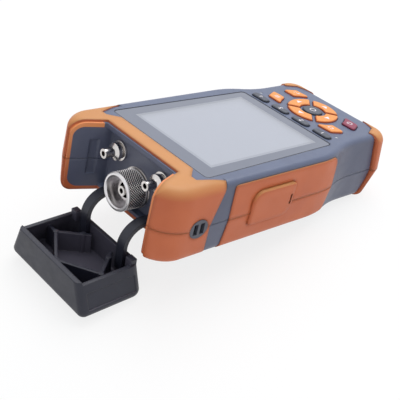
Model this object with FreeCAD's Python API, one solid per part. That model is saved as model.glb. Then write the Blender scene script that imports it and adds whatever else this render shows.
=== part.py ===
import FreeCAD, Part
import functools
import math
import os

# Handheld fibre test meter with its dust cap hanging open.
# Millimetres, +Z up. The screen faces up, the ports face -Y and the keypad is at +Y.
# The origin is at the middle of the flat back face.

V = FreeCAD.Vector

# Case
case_height = 37.0            # back face to screen face
parting_height = 17.5         # back face to the joint between the shells
parting_gap = 0.2             # line that shows between the two halves
wall = 2.4                    # moulded shell wall
body_half_front = 40.4        # half width at the parting line, port end
body_half_rear = 37.0         # half width at the parting line, keypad end
strip_front = -63.6           # face of the strips over and under the ports
horn_length = 15.2            # how far the horns stand past it
body_front = strip_front - horn_length
body_rear = 80.8              # keypad end at the parting line
horn_radius = 13.3            # horns' rounding seen from above
rear_radius = 7.5             # keypad end's corners seen from above
cavity_radius = 4.0           # the hollow's front corners seen from above
taper_start = 20.0            # where the sides start to draw in
taper_end = 54.0              # where they run straight again
top_draft_front = 1.2         # how far the sides lean in, parting line to screen face
top_draft_rear = 2.7
top_draft_end = 0.4
back_draft_front = 1.6        # the same, parting line to back face
back_draft_rear = 1.4
back_draft_end = 7.5
top_edge_radius = 3.2
back_edge_radius = 5.0

# Orange rubber moulded on the shells
skin = 2.2                    # thickness on the sides
skin_rise = 0.5               # how far it stands above the screen face
skin_top_radius = 5.5
strip_thickness = 2.0         # over and under the ports
rubber_proud = 0.4            # how far the grips stand out of the shells' sides
corner_pad = 2.0              # on top of and under the rear corners
horn_nose_radius = 9.0        # horns' nose seen from the side, upper edge
horn_chin_radius = 6.0        # the same, lower edge
strip_length = 7.1            # strip over the ports, front to back
strip_back = strip_front + strip_length
strip_half = 26.0
shoulder_x = 31.0             # where the strip turns back beside the window
shoulder_width = 3.2
shoulder_run = 4.0            # runs are taken from the strips' face
shoulder_y = strip_front + shoulder_run
bumper_tip_x = 38.8
bumper_tip_run = 17.6
bumper_tip_y = strip_front + bumper_tip_run
bumper_waist_run = 10.1
bumper_waist_y = strip_front + bumper_waist_run
bumper_foot_run = 12.0
bumper_foot_y = strip_front + bumper_foot_run
stripe_top = 5.0              # bare stripe between bumper and grip, at both ends
stripe_back = 9.3
grip_drop = 2.5               # screen face to the grips' upper edge
grip_front_top = bumper_tip_y + stripe_top
grip_front_back = bumper_foot_y + stripe_back
grip_rear_top = 35.0
grip_rear_back = 33.0
grip_front_radius = 1.5
grip_rear_radius = 6.0
grip_lap_back = 2.4           # how far the grips lap under the back face
corner_inner_x = 19.0         # rear corner bumpers seen from above
corner_inner_y = 79.3
corner_bend_x = 27.7
corner_bend_y = 75.9
corner_side_x = 31.0
corner_side_y = 68.8
corner_ramp = 4.0             # length over which their front edge rises

# Port end
pocket_depth = 3.3            # strips' face to the face of the port plate
port_wall = strip_front + pocket_depth
pocket_low = 4.5              # back face to the pocket's floor
pocket_drop = 3.0             # screen face to the pocket's roof
plate_thickness = 2.0
plate_half = 22.4
plate_ledge = 2.0             # shell wall that backs the plate
plate_overlap = 2.4           # how far the plate laps over that wall
notch_half = 24.4             # half width of the notch at the strips
notch_flare = 0.368           # half width gained per millimetre forward
lip_width = 1.2               # shells' lip between the rubber and the notch
lip_sink = 1.0                # how far the lip lies under the rubber's surface
recess_depth = 0.8            # shallow recess in the horns' inner walls
recess_near = 2.4             # its ends, forward of the strips' face
recess_far = 6.4
recess_low = 10.0
recess_high = 28.0
side_port_x = 15.5
side_port_drop = 10.7         # screen face to the ports' axis
side_port_z = case_height - side_port_drop
main_port_z = 14.9
ferrule_bore = 1.25           # radius, for a 2.5 mm ferrule
ferrule_sleeve = 2.35
sleeve_depth = 10.0
port_shank = 3.0
port_flange = 4.9
port_flange_reach = 1.2       # reaches are taken from the port plate's face
port_neck = 3.5
port_neck_reach = 2.0
port_collar = 4.2
port_collar_reach = 4.2
port_cone_reach = 5.2
port_reach = 10.3
port_chamfer = 0.3
main_shank = 4.5
main_flange = 9.8
main_flange_reach = 1.0
main_core = 4.9
main_core_bore = 3.7
main_core_depth = 4.0
main_core_reach = 7.2
main_sleeve_reach = 9.3
nut_radius = 9.3
nut_bore = 7.4
nut_reach = 12.4
nut_web = 1.8
nut_chamfer = 0.5

# Display and keypad
window_margin = 3.4           # strip's rear edge to the window
window_front = strip_back + window_margin
window_rear = 35.0
window_half_front = 34.1
window_half_rear = 32.3
window_radius = 2.0
window_thickness = 1.5
window_sink = 0.15
view_half = 27.6
view_inset = 8.5              # window's front edge to the view
view_front = window_front + view_inset
view_rear = 28.6
display_half = 29.2
display_inset = 3.1           # window's front edge to the display
display_front = window_front + display_inset
display_rear = 33.0
gasket_thickness = 0.3
key_travel = 0.7
key_rise = 1.0
key_flange = 0.8              # how far a key's foot laps under the shell
key_flange_thickness = 1.1
key_slack = 0.25              # left between a pressed key and the mat
mat_thickness = 1.35
board_thickness = 1.6
key_chamfer = 0.4
soft_key_count = 4
soft_key_pitch = 15.0
soft_key_width = 11.0
soft_key_depth = 4.4
soft_key_radius = 2.0
soft_key_y = 39.2
ring_y = 57.6
ring_radius = 14.0
ring_inner = 7.2
ring_split = 2.2
centre_key_radius = 5.3
corner_key_arc = 18.0         # inner edge of a corner key, round the ring's centre
corner_key_corners = ((12.9, 12.4), (23.0, 11.6), (26.2, 4.2), (17.9, 4.1))
corner_key_radius = 1.2
light_x = 27.8
light_y = 45.0
light_radius = 0.7

# Dust cap, in its closed place before it swings open
cap_gap = 0.4                 # round the closed cap
cap_front = body_front - skin  # level with the horns' rubber
cap_bottom = 3.0
cap_wall = 2.0
cap_rim_step = 1.4            # how far the upper panel stands past the rim
cap_panel = 2.6               # upper panel's thickness
cap_edge_radius = 3.0         # round the cap's front face
cap_corner_radius = 3.2       # along the cap's depth, panel side
cap_hinge_radius = 5.5        # the same, strap side
cap_open_angle = 94.0
cap_axis_inset = 0.2          # the strips' face to the middle of the straps' bend
cap_axis_y = strip_front + cap_axis_inset
cap_axis_z = -6.0
rib_thickness = 1.6
rib_sink = 5.1                # strips' face to the ribs' edges
rib_top = strip_front - rib_sink
rib_boss = 1.4
rib_top_z = 31.6              # rib crossings
rib_side_x = 18.3
rib_side_z = 20.0
rib_low_x = 10.2
rib_low_z = 10.0
rib_overrun = 4.0             # length of rib past the lower crossing
frame_depth = 0.6             # shallow frame in the cap's ends
frame_margin = 4.0
ear_width = 4.0
ear_reach = 2.6
ear_height = 3.2
strap_x = 14.3
strap_width = 5.0
strap_thickness = 2.4
strap_bend = 10.5             # radius at the strap's middle line
strap_tail = 12.0             # length inside the cap

# Socket cover in the right grip
cover_front = -28.0
cover_rear = 0.5
cover_low = 11.0
cover_high = 28.5
cover_rise = 0.9
cover_large_radius = 6.0
cover_small_radius = 2.0
cover_edge_radius = 0.7
finger_width = 1.4            # slot for a finger nail in the cover's face
finger_height = 5.5
finger_depth = 0.6
finger_inset = 2.2            # slot's middle to the cover's rear edge
socket_depth = 7.2
usb_y = -8.0
usb_width = 9.4
usb_height = 3.6
usb_radius = 1.6
usb_tongue_width = 6.6
usb_tongue_height = 0.7
socket_wall = 0.4
jack_y = -21.0
jack_size = 7.6
jack_bore = 2.75
jack_pin = 1.0
socket_z = 19.75

# Lanyard eye in the front bumper
eye_run = 3.6                 # strips' face to the eye's middle
eye_y = strip_front + eye_run
eye_half_length = 5.2
eye_half_height = 4.6
eye_depth = 5.0
eye_slot_width = 2.4
eye_slot_height = 5.4
eye_bar = 1.4                 # bar between the slots
eye_back = 1.0                # wall behind the bar
eye_tunnel = 2.2              # room behind the bar for a cord

# Inside
screw_radius = 1.25
screw_head = 2.6
screw_head_height = 2.2
screw_sink = 3.0
screw_length = 26.0
boss_radius = 3.5
screw_x = 33.0
screw_front = -40.0
screw_middle = 15.0
screw_rear_x = 29.5
screw_rear = 66.0
board_half = 29.0
board_front = display_front
board_rear = 70.2
post_radius = 2.5
post_x = 26.8
post_inset = 4.0              # board's front edge to the first posts
post_places = (board_front + post_inset, 30.0, 54.0)
module_half = 23.0
module_inset = 3.0            # board's front edge to the module
module_front = board_front + module_inset
module_rear = -12.0
module_height = 20.0
module_seat = 2.0
battery_half = 20.0
battery_front = -6.0
battery_rear = 60.0
battery_height = 17.0
can_radius = 4.0
detector_length = 5.0
laser_length = 7.0

# Clearances
gap = 0.3                     # between pieces that move past each other
fit = 0.05                    # between pieces that are pressed or screwed together

far = 120.0                   # beyond the object, for cutting shapes


def box(x0, x1, y0, y1, z0, z1):
    return Part.makeBox(x1 - x0, y1 - y0, z1 - z0, V(x0, y0, z0))


def cylinder(radius, length, start, direction):
    return Part.makeCylinder(radius, length, V(*start), V(*direction))


def line(start, end):
    return Part.LineSegment(V(*start), V(*end)).toShape()


def arc(start, middle, end):
    return Part.Arc(V(*start), V(*middle), V(*end)).toShape()


def face_of(edges):
    return Part.Face(Part.Wire(Part.sortEdges(edges)[0]))


def plan_prism(points, z0, z1):
    """Straight prism over an outline seen from above."""
    corners = [V(x, y, z0) for x, y in points]
    return Part.Face(Part.makePolygon(corners + corners[:1])).extrude(V(0, 0, z1 - z0))


def side_prism(points, x0, x1):
    """Straight prism over an outline seen from the side, points as (y, z)."""
    corners = [V(x0, y, z) for y, z in points]
    return Part.Face(Part.makePolygon(corners + corners[:1])).extrude(V(x1 - x0, 0, 0))


def both_sides(right):
    """Closed outline from its right half, listed from front to rear or rear to front."""
    return right + [(-x, y) for x, y in reversed(right)]


def mirrored(shape):
    return shape.mirror(V(0, 0, 0), V(1, 0, 0))


def level(z):
    """Half width at the port end and at the keypad end, and the rear, at one height."""
    if z >= parting_height:
        share = (z - parting_height) / (case_height - parting_height)
        drafts = (top_draft_front, top_draft_rear, top_draft_end)
    else:
        share = (parting_height - z) / parting_height
        drafts = (back_draft_front, back_draft_rear, back_draft_end)
    sizes = (body_half_front, body_half_rear, body_rear)
    return [size - draft * share for size, draft in zip(sizes, drafts)]


def side_edges(side, z, half_front, half_rear, front, rear, front_radius, rear_radius_here):
    """One long side from the front edge to the rear edge, with its two corners."""
    drop = half_front - half_rear
    run = taper_end - taper_start
    bend = (drop ** 2 + run ** 2) / (4 * drop)
    half_turn = math.asin(run / 2 / bend) / 2
    lean = bend * (1 - math.cos(half_turn))
    reach = bend * math.sin(half_turn)
    slack = 1 - math.sqrt(0.5)

    def at(x, y):
        return (side * x, y, z)

    middle = at((half_front + half_rear) / 2, (taper_start + taper_end) / 2)
    return [
        arc(at(half_front - front_radius, front),
            at(half_front - front_radius * slack, front + front_radius * slack),
            at(half_front, front + front_radius)),
        line(at(half_front, front + front_radius), at(half_front, taper_start)),
        arc(at(half_front, taper_start), at(half_front - lean, taper_start + reach), middle),
        arc(middle, at(half_rear + lean, taper_end - reach), at(half_rear, taper_end)),
        line(at(half_rear, taper_end), at(half_rear, rear - rear_radius_here)),
        arc(at(half_rear, rear - rear_radius_here),
            at(half_rear - rear_radius_here * slack, rear - rear_radius_here * slack),
            at(half_rear - rear_radius_here, rear)),
    ]


def outline(z, grow, grow_rear, front, front_radius):
    """Case outline at one height, grown at both ends, with its front edge where asked."""
    half_front, half_rear, rear = level(z)
    half_front += grow
    half_rear += grow_rear
    rear += grow_rear
    corner = rear_radius + grow_rear
    sizes = (z, half_front, half_rear, front, rear, front_radius, corner)
    edges = side_edges(1, *sizes)
    edges.append(line((half_rear - corner, rear, z), (corner - half_rear, rear, z)))
    edges += side_edges(-1, *sizes)
    front_half = half_front - front_radius
    edges.append(line((-front_half, front, z), (front_half, front, z)))
    return Part.Wire(Part.sortEdges(edges)[0])


def block(z0, z1, grow, grow_rear, front, front_radius):
    """Solid between the case outlines at two heights."""
    lower = outline(z0, grow, grow_rear, front, front_radius)
    upper = outline(z1, grow, grow_rear, front, front_radius)
    return Part.makeLoft([lower, upper], True, True)


def edges_at(shape, axis, place):
    """Edges that lie wholly at one place along an axis."""
    return [e for e in shape.Edges if all(abs(v.Point[axis] - place) < 1e-6 for v in e.Vertexes)]


def rounded_at(shape, z, radius):
    """Round the edges that lie flat at one height."""
    return shape.makeFillet(radius, edges_at(shape, 2, z))


def nose_cut(front, top, bottom, upper_radius, lower_radius):
    """What the horns' rounded nose takes off, seen from the side."""
    upper_y = front + upper_radius
    upper_z = top - upper_radius
    upper = box(-far, far, front - far, upper_y, upper_z, far)
    upper = upper.cut(cylinder(upper_radius, 2 * far, (-far, upper_y, upper_z), (1, 0, 0)))
    lower_y = front + lower_radius
    lower_z = bottom + lower_radius
    lower = box(-far, far, front - far, lower_y, -far, lower_z)
    lower = lower.cut(cylinder(lower_radius, 2 * far, (-far, lower_y, lower_z), (1, 0, 0)))
    return upper.fuse(lower)


def notch_at(y):
    """Half width of the notch at one place along Y."""
    return notch_half + notch_flare * (strip_front - y)


def turned(profile, x, z):
    """Solid turned about an axis along Y, profile as (radius, y)."""
    corners = [V(x + radius, y, z) for radius, y in profile]
    face = Part.Face(Part.makePolygon(corners + corners[:1]))
    return face.revolve(V(x, 0, z), V(0, 1, 0), 360)


def rounded(points, radii, place):
    """Flat face over a polygon with rounded corners; place turns (a, b) into a point."""
    edges = []
    starts = []
    ends = []
    count = len(points)
    for i in range(count):
        corner = V(*points[i], 0)
        back = V(*points[i - 1], 0) - corner
        ahead = V(*points[(i + 1) % count], 0) - corner
        half = back.getAngle(ahead) / 2
        back.normalize()
        ahead.normalize()
        away = back + ahead
        away.normalize()
        cut = radii[i] / math.tan(half)
        start = corner + back * cut
        end = corner + ahead * cut
        middle = corner + away * (radii[i] / math.sin(half) - radii[i])
        edges.append(Part.Arc(place(start), place(middle), place(end)).toShape())
        starts.append(start)
        ends.append(end)
    for i in range(count):
        edges.append(Part.LineSegment(place(ends[i - 1]), place(starts[i])).toShape())
    return face_of(edges)


def at_height(z):
    return lambda p: V(p.x, p.y, z)


def at_side(x):
    return lambda p: V(x, p.x, p.y)


upper_z = parting_height + parting_gap / 2
lower_z = parting_height - parting_gap / 2
ceiling = case_height - wall
floor = wall
cavity_front = port_wall + plate_thickness + plate_ledge

# Where the rubber lies
strip_top = case_height - strip_thickness
strip_bottom = strip_thickness
bumper_plan = both_sides([
    (strip_half, strip_back),
    (shoulder_x, shoulder_y),
    (shoulder_x + shoulder_width, shoulder_y),
    (bumper_tip_x, bumper_tip_y),
    (far, bumper_tip_y),
    (far, -far),
])
bumper_side = [
    (-far, -far),
    (bumper_foot_y, -far),
    (bumper_foot_y, 0),
    (bumper_waist_y, parting_height),
    (bumper_tip_y, case_height),
    (bumper_tip_y, far),
    (-far, far),
]
bumper_zone = side_prism(bumper_side, -far, far)
bumper_top_zone = bumper_zone.common(plan_prism(bumper_plan, parting_height, far))
corner_plan = [
    (corner_inner_x, far),
    (corner_inner_x, corner_inner_y),
    (corner_bend_x, corner_bend_y),
    (corner_side_x, corner_side_y),
    (body_half_rear + skin, corner_side_y + corner_ramp),
    (far, corner_side_y + corner_ramp),
    (far, far),
]
grip_top = case_height - grip_drop
grip_side = [
    (grip_front_back, 0),
    (grip_front_top, grip_top),
    (grip_rear_top, grip_top),
    (grip_rear_back, 0),
]
corner_zone = plan_prism(corner_plan, -far, far)
corner_zones = corner_zone.fuse(mirrored(corner_zone))
grip_radii = (grip_front_radius, grip_front_radius, grip_rear_radius, grip_rear_radius)
grip_zone = rounded(grip_side, grip_radii, at_side(0)).extrude(V(far, 0, 0))
rubber_zone = bumper_zone.fuse([grip_zone, mirrored(grip_zone)])

# Notch between the horns, open above and below, and the pocket of the port plate
notch = plan_prism(both_sides([(notch_at(strip_front), strip_front), (notch_at(-far), -far)]), -far, far)
wide_rear = (notch_at(strip_front) + lip_width, strip_front + lip_width)
wide_notch = plan_prism(both_sides([wide_rear, (notch_at(-far) + lip_width, -far)]), -far, far)
pocket_high = case_height - pocket_drop
pocket = plan_prism(
    both_sides([(notch_at(port_wall), port_wall), (notch_at(strip_front), strip_front)]),
    pocket_low, pocket_high)
plate_low = pocket_low + gap
plate_high = pocket_high - gap
plate_seat = box(-plate_half - fit, plate_half + fit, port_wall, port_wall + plate_thickness,
                 plate_low - fit, plate_high + fit)
plate_opening = box(plate_overlap - plate_half, plate_half - plate_overlap, port_wall, cavity_front + wall,
                    plate_low + plate_overlap, plate_high - plate_overlap)
recess_rear = strip_front - recess_near
recess_front = strip_front - recess_far
recess_plan = [
    (notch_at(recess_rear) - gap, recess_rear),
    (notch_at(recess_rear) + recess_depth, recess_rear),
    (notch_at(recess_front) + recess_depth, recess_front),
    (notch_at(recess_front) - gap, recess_front),
]
recess = plan_prism(recess_plan, recess_low, recess_high)
port_end_cuts = notch.fuse([pocket, plate_seat, plate_opening, recess, mirrored(recess)])

# Lanyard eye
eye_outer = body_half_front + skin
eye_inner = eye_outer - eye_depth


def eye_prism(grow):
    centre = V(eye_inner, eye_y, parting_height)
    ring = Part.Ellipse(centre, eye_half_length + grow, eye_half_height + grow).toShape()
    ring.rotate(centre, V(0, 0, 1), 90)
    ring.rotate(centre, V(0, 1, 0), 90)
    return Part.Face(Part.Wire([ring])).extrude(V(eye_depth, 0, 0))


eye_hole = eye_prism(fit).fuse(eye_prism(fit).translated(V(eye_depth, 0, 0)))


# Socket cover and the sockets behind it
cover_inner = body_half_front + gap
cover_outer = body_half_front + skin + cover_rise
socket_outer = body_half_front - gap
socket_inner = socket_outer - socket_depth


def cover_prism(grow, x0, x1):
    """Outline with two large and two small corners, seen from the side."""
    points = [
        (cover_front - grow, cover_low - grow),
        (cover_rear + grow, cover_low - grow),
        (cover_rear + grow, cover_high + grow),
        (cover_front - grow, cover_high + grow),
    ]
    large = cover_large_radius + grow
    small = cover_small_radius + grow
    return rounded(points, (small, large, small, large), at_side(x0)).extrude(V(x1 - x0, 0, 0))


def usb_block(grow, x0, x1):
    half_width = usb_width / 2 + grow
    half_height = usb_height / 2 + grow
    points = [
        (usb_y - half_width, socket_z - half_height),
        (usb_y + half_width, socket_z - half_height),
        (usb_y + half_width, socket_z + half_height),
        (usb_y - half_width, socket_z + half_height),
    ]
    return rounded(points, (usb_radius + grow,) * 4, at_side(x0)).extrude(V(x1 - x0, 0, 0))


def jack_block(grow, x0, x1):
    half = jack_size / 2 + grow
    return box(x0, x1, jack_y - half, jack_y + half, socket_z - half, socket_z + half)


cover_hole = cover_prism(gap, 0, far)
socket_holes = usb_block(fit, socket_inner, far).fuse(jack_block(fit, socket_inner, far))

# Keys seen from above, each as a prism between two heights
def soft_key(x, grow, z0, z1):
    half_width = soft_key_width / 2 + grow
    half_depth = soft_key_depth / 2 + grow
    points = [
        (x - half_width, soft_key_y - half_depth),
        (x + half_width, soft_key_y - half_depth),
        (x + half_width, soft_key_y + half_depth),
        (x - half_width, soft_key_y + half_depth),
    ]
    return rounded(points, (soft_key_radius + grow,) * 4, at_height(z0)).extrude(V(0, 0, z1 - z0))


def arrow_key(turn, grow, z0, z1):
    """One quarter of the arrow ring, parted from its neighbours along the diagonals."""
    outer = ring_radius + grow
    inner = ring_inner - grow
    half_split = ring_split / 2 - grow
    inner_angle = math.radians(45) - math.asin(half_split / inner)
    outer_angle = math.radians(45) - math.asin(half_split / outer)

    def at(radius, angle):
        return (radius * math.cos(angle), ring_y + radius * math.sin(angle), z0)

    edges = [
        arc(at(outer, -outer_angle), at(outer, 0), at(outer, outer_angle)),
        line(at(outer, outer_angle), at(inner, inner_angle)),
        arc(at(inner, inner_angle), at(inner, 0), at(inner, -inner_angle)),
        line(at(inner, -inner_angle), at(outer, -outer_angle)),
    ]
    prism = face_of(edges).extrude(V(0, 0, z1 - z0))
    prism.rotate(V(0, ring_y, 0), V(0, 0, 1), turn)
    return prism


def corner_key(side_x, side_y, grow, z0, z1):
    """Four-sided key whose inner edge follows the arrow ring."""
    points = [(side_x * x, ring_y + side_y * y) for x, y in corner_key_corners]
    face = rounded(points, (corner_key_radius,) * 4, at_height(z0))
    if grow:
        face = face.makeOffset2D(grow)
    prism = face.extrude(V(0, 0, z1 - z0))
    return prism.cut(cylinder(corner_key_arc - grow, z1 - z0, (0, ring_y, z0), (0, 0, 1)))


def round_key(radius, grow, z0, z1):
    return cylinder(radius + grow, z1 - z0, (0, ring_y, z0), (0, 0, 1))


key_plans = {}
for number in range(soft_key_count):
    key_x = (number - (soft_key_count - 1) / 2) * soft_key_pitch
    key_plans["soft_key_%d" % (number + 1)] = functools.partial(soft_key, key_x)
for name, side_x, side_y in (("function_key", -1, -1), ("back_key", -1, 1),
                             ("menu_key", 1, -1), ("power_key", 1, 1)):
    key_plans[name] = functools.partial(corner_key, side_x, side_y)
for name, turn in (("right_key", 0), ("rear_key", 90), ("left_key", 180), ("front_key", 270)):
    key_plans[name] = functools.partial(arrow_key, turn)
key_plans["centre_key"] = functools.partial(round_key, centre_key_radius)
key_holes = [plan(gap, parting_height, far) for plan in key_plans.values()]

foot_top = ceiling - gap
foot_bottom = foot_top - key_flange_thickness
mat_top = foot_bottom - key_travel - key_slack
board_top = mat_top - mat_thickness
board_bottom = board_top - board_thickness
light_length = case_height - window_sink - board_top


def key(plan):
    """Key cap on a foot that is wider where it laps under the shell."""
    key_top = case_height + key_rise
    cap = plan(0, foot_top, key_top)
    cap = cap.makeChamfer(key_chamfer, edges_at(cap, 2, key_top))
    foot = plan(key_flange, foot_bottom, foot_top)
    return cap.fuse(foot).removeSplitter()


# Window and display
def window_prism(grow, z0, z1):
    points = [
        (-window_half_front - grow, window_front - grow),
        (window_half_front + grow, window_front - grow),
        (window_half_rear + grow, window_rear + grow),
        (-window_half_rear - grow, window_rear + grow),
    ]
    return rounded(points, (window_radius + grow,) * 4, at_height(z0)).extrude(V(0, 0, z1 - z0))


window_top = case_height - window_sink
window_bottom = window_top - window_thickness
display_top = ceiling - gasket_thickness


def light_pipes(grow, length):
    radius = light_radius + grow
    return [cylinder(radius, length, (x, light_y, board_top), (0, 0, 1)) for x in (-light_x, light_x)]


# Case screws, driven from the back
screw_rows = ((screw_x, screw_front), (screw_x, screw_middle), (screw_rear_x, screw_rear))
screw_places = [(side * x, y) for x, y in screw_rows for side in (-1, 1)]
head_bottom = screw_sink - screw_head_height


def at_screws(radius, z0, z1):
    return [cylinder(radius, z1 - z0, (x, y, z0), (0, 0, 1)) for x, y in screw_places]


# Shells
skin_front = body_front - skin
skin_top = case_height + skin_rise
core_upper = block(upper_z, case_height, 0, 0, body_front, horn_radius)
core_upper = rounded_at(core_upper, case_height, top_edge_radius)
core_lower = block(0, lower_z, 0, 0, body_front, horn_radius)
core_lower = rounded_at(core_lower, 0, back_edge_radius)
side_grow = skin - rubber_proud
base_upper = block(upper_z, case_height, side_grow, 0, body_front, horn_radius + side_grow)
base_upper = rounded_at(base_upper, case_height, top_edge_radius).cut(rubber_zone.cut(core_upper))
base_lower = block(0, lower_z, side_grow, 0, body_front, horn_radius + side_grow)
base_lower = rounded_at(base_lower, 0, back_edge_radius).cut(rubber_zone.cut(core_lower))
nose = nose_cut(body_front, skin_top - skin, skin, horn_nose_radius - skin, horn_chin_radius - skin)
front_only = box(-far, far, -far, bumper_waist_y, -far, far)
base_upper = base_upper.cut(nose.common(front_only))
base_lower = base_lower.cut(nose.common(front_only))
base_upper = base_upper.cut(bumper_top_zone.common(box(-far, far, -far, far, strip_top, far)))
base_upper = base_upper.cut(corner_zones.common(box(-far, far, -far, far, case_height - corner_pad, far)))
base_lower = base_lower.cut(bumper_zone.common(box(-far, far, -far, far, -far, strip_bottom)))
base_lower = base_lower.cut(corner_zones.common(box(-far, far, -far, far, -far, corner_pad)))

# Lip of the shells between the rubber and the notch
lip_grow = skin - lip_sink
lip_front = skin_front + lip_sink
lip_top = skin_top - lip_sink
lip_nose = nose_cut(lip_front, lip_top, lip_sink, horn_nose_radius - lip_sink, horn_chin_radius - lip_sink)
lip_upper = block(upper_z, lip_top, lip_grow, lip_grow, lip_front, horn_radius + lip_grow)
lip_upper = rounded_at(lip_upper, lip_top, skin_top_radius - lip_sink).cut(lip_nose)
lip_lower = block(lip_sink, lower_z, lip_grow, lip_grow, lip_front, horn_radius + lip_grow)
lip_lower = rounded_at(lip_lower, lip_sink, back_edge_radius - lip_sink).cut(lip_nose)
base_upper = base_upper.fuse(lip_upper.common(wide_notch))
base_lower = base_lower.fuse(lip_lower.common(wide_notch))

upper_cavity = block(upper_z, ceiling, -wall, -wall, cavity_front, cavity_radius)
upper_shell = base_upper.cut([upper_cavity, port_end_cuts, eye_hole])
upper_bosses = at_screws(boss_radius, upper_z, ceiling)
upper_shell = upper_shell.fuse([boss.common(base_upper) for boss in upper_bosses])
upper_cuts = at_screws(screw_radius + fit, floor, head_bottom + screw_length + gap)
upper_cuts += key_holes
upper_cuts += light_pipes(fit, far)
upper_cuts.append(window_prism(fit + gap, window_bottom, far))
upper_cuts.append(box(-view_half, view_half, view_front, view_rear, board_top, far))
upper_cuts.append(socket_holes)
upper_shell = upper_shell.cut(upper_cuts).removeSplitter()


def posts_at(half, places, z1):
    """Posts in pairs that stand up from the middle of the floor's thickness."""
    z0 = floor / 2
    return [cylinder(post_radius, z1 - z0, (x, y, z0), (0, 0, 1)) for x in (-half, half) for y in places]


module_bottom = floor + module_seat
pad_places = (module_front + post_radius, module_rear - post_radius)
lower_cavity = block(floor, lower_z, -wall, -wall, cavity_front, cavity_radius)
lower_shell = base_lower.cut([lower_cavity, port_end_cuts, eye_hole])
lower_additions = [boss.common(base_lower) for boss in at_screws(boss_radius, floor / 2, lower_z)]
lower_additions += posts_at(post_x, post_places, board_bottom)
lower_additions += posts_at(module_half - post_radius, pad_places, module_bottom)
lower_shell = lower_shell.fuse(lower_additions)
lower_cuts = at_screws(screw_radius + gap, -far, far)
lower_cuts += at_screws(screw_head + gap, -far, screw_sink)
lower_cuts.append(socket_holes)
lower_shell = lower_shell.cut(lower_cuts).removeSplitter()

# Rubber skins
skin_upper = block(upper_z, skin_top, skin, skin, skin_front, horn_radius + skin)
skin_upper = rounded_at(skin_upper, skin_top, skin_top_radius)
skin_lower = block(0, lower_z, skin, skin, skin_front, horn_radius + skin)
skin_lower = rounded_at(skin_lower, 0, back_edge_radius)
skin_nose = nose_cut(skin_front, skin_top, 0, horn_nose_radius, horn_chin_radius)
skin_upper = skin_upper.cut(skin_nose)
skin_lower = skin_lower.cut(skin_nose)
grip_skin_upper = block(upper_z, case_height, skin, rubber_proud, body_front, horn_radius + skin)
grip_skin_upper = rounded_at(grip_skin_upper, case_height, top_edge_radius + rubber_proud)
grip_skin_lower = block(0, lower_z, skin, rubber_proud, body_front, horn_radius + skin)
grip_skin_lower = rounded_at(grip_skin_lower, 0, back_edge_radius)
under_back = outline(0, -grip_lap_back, -grip_lap_back, body_front, horn_radius)
under_back = Part.Face(under_back).extrude(V(0, 0, 2 * far)).translated(V(0, 0, -far))

parts = {"upper_shell": upper_shell, "lower_shell": lower_shell}
parts["front_bumper_upper"] = skin_upper.common(bumper_top_zone).cut([base_upper, wide_notch, eye_hole])
parts["front_bumper_lower"] = skin_lower.common(bumper_zone).cut([base_lower, wide_notch, eye_hole])
grip_upper = grip_skin_upper.common(grip_zone).cut(base_upper)
grip_lower = grip_skin_lower.common(grip_zone).cut([base_lower, under_back])
corner_upper = skin_upper.common(corner_zone).cut(base_upper)
corner_lower = skin_lower.common(corner_zone).cut(base_lower)
parts["grip_left_upper"] = mirrored(grip_upper)
parts["grip_left_lower"] = mirrored(grip_lower)
parts["grip_right_upper"] = grip_upper.cut(cover_hole)
parts["grip_right_lower"] = grip_lower.cut(cover_hole)
parts["rear_bumper_left_upper"] = mirrored(corner_upper)
parts["rear_bumper_left_lower"] = mirrored(corner_lower)
parts["rear_bumper_right_upper"] = corner_upper
parts["rear_bumper_right_lower"] = corner_lower

# Display, keypad and boards
parts["screen_window"] = window_prism(0, window_bottom, window_top)
display_place = (-display_half, display_half, display_front, display_rear)
view_place = (-view_half, view_half, view_front, view_rear)
parts["display_module"] = box(*display_place, board_top, display_top)
gasket = box(*display_place, display_top, ceiling)
parts["display_gasket"] = gasket.cut(box(*view_place, display_top, ceiling))
mat_front = display_rear + gap
round_bosses = at_screws(boss_radius + gap, board_bottom, ceiling)
mat = box(-board_half, board_half, mat_front, board_rear, board_top, mat_top)
parts["keypad_mat"] = mat.cut(light_pipes(fit, far) + round_bosses)
board = box(-board_half, board_half, board_front, board_rear, board_bottom, board_top)
parts["main_board"] = board.cut(round_bosses)
parts["status_lights"] = Part.makeCompound(light_pipes(0, light_length))
for name, plan in key_plans.items():
    parts[name] = key(plan)

# Ports
plate = box(-plate_half, plate_half, port_wall, port_wall + plate_thickness, plate_low, plate_high)
shank_rear = port_wall + plate_thickness + gap
side_ports = ((-side_port_x, "power_meter_adapter"), (side_port_x, "fault_locator_adapter"))
plate_holes = [cylinder(port_shank + fit, far, (x, -far, side_port_z), (0, 1, 0)) for x, _ in side_ports]
plate_holes.append(cylinder(main_shank + fit, far, (0, -far, main_port_z), (0, 1, 0)))
parts["port_plate"] = plate.cut(plate_holes)

port_tip = port_wall - port_reach
port_profile = [
    (0, shank_rear),
    (port_shank, shank_rear),
    (port_shank, port_wall),
    (port_flange, port_wall),
    (port_flange, port_wall - port_flange_reach),
    (port_neck, port_wall - port_flange_reach - port_chamfer),
    (port_neck, port_wall - port_neck_reach),
    (port_collar, port_wall - port_neck_reach - port_chamfer),
    (port_collar, port_wall - port_collar_reach),
    (ferrule_sleeve, port_wall - port_cone_reach),
    (ferrule_sleeve, port_tip),
    (ferrule_bore, port_tip),
    (ferrule_bore, port_tip + sleeve_depth),
    (0, port_tip + sleeve_depth),
]
for x, name in side_ports:
    parts[name] = turned(port_profile, x, side_port_z)

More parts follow.
